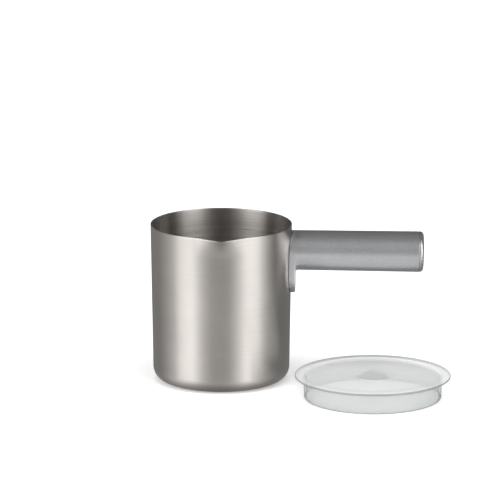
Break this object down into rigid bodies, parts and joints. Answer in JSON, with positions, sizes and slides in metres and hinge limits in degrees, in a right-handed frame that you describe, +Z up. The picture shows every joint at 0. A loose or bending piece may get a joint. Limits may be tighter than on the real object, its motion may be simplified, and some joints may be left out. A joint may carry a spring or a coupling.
{
  "type": "milk frother",
  "caption": "Steel frothing cup with a pouring lip and a straight side handle, a magnet-driven coil whisk on a post inside, and a clear push-in lid lying beside it.",
  "frame": {"origin": "centre of the cup's underside, on the surface that it stands on", "axes": "+Z up along the cup's axis, +X along the handle towards its free end, -Y towards the pouring lip"},
  "size_m": [0.1936, 0.1441, 0.1038],
  "materials": {
    "brushed_cup_steel": "brushed round the cup",
    "base_steel": "bead blasted",
    "plain_steel": "drawn and tumbled",
    "grey_silicone": "matt moulded",
    "silver_handle_paint": "satin metallic paint",
    "black_nylon": "moulded",
    "white_bearing_plastic": "turned",
    "black_whisk_plastic": "moulded",
    "plated_magnet": "nickel plated",
    "clear_plastic": "clear polished"
  },
  "bodies": {
    "cup": {"cup_shell": "brushed_cup_steel", "heating_disc": "base_steel", "whisk_post": "plain_steel", "handle_bracket": "plain_steel", "bracket_nut": "plain_steel", "wall_gasket": "grey_silicone", "handle_body": "silver_handle_paint", "grip_core": "black_nylon", "tie_screw": "plain_steel", "plain_washer": "plain_steel", "lock_washer": "plain_steel", "end_cap": "silver_handle_paint", "cap_seal": "grey_silicone"},
    "whisk_bearing": {"whisk_bush": "white_bearing_plastic"},
    "whisk": {"whisk_carrier": "black_whisk_plastic", "magnet_cover": "black_whisk_plastic", "whisk_coil": "plain_steel", "whisk_magnet_1": "plated_magnet", "whisk_magnet_2": "plated_magnet", "whisk_magnet_3": "plated_magnet", "whisk_magnet_4": "plated_magnet"},
    "lid": {"lid": "clear_plastic"}
  },
  "joints": [
    {"name": "whisk_lift", "type": "slide", "parent": "cup", "child": "whisk_bearing", "axis": [0, 0, 1], "range_m": [0, 0.12]},
    {"name": "whisk_spin", "type": "hinge", "parent": "whisk_bearing", "child": "whisk", "pos_m": [0, 0, 0.008], "axis": [0, 0, 1], "continuous": true},
    {"name": "lid_lift", "type": "slide", "parent": "cup", "child": "lid", "axis": [0, -0.3304, 0.9438], "range_m": [0, 0.15]}
  ]
}
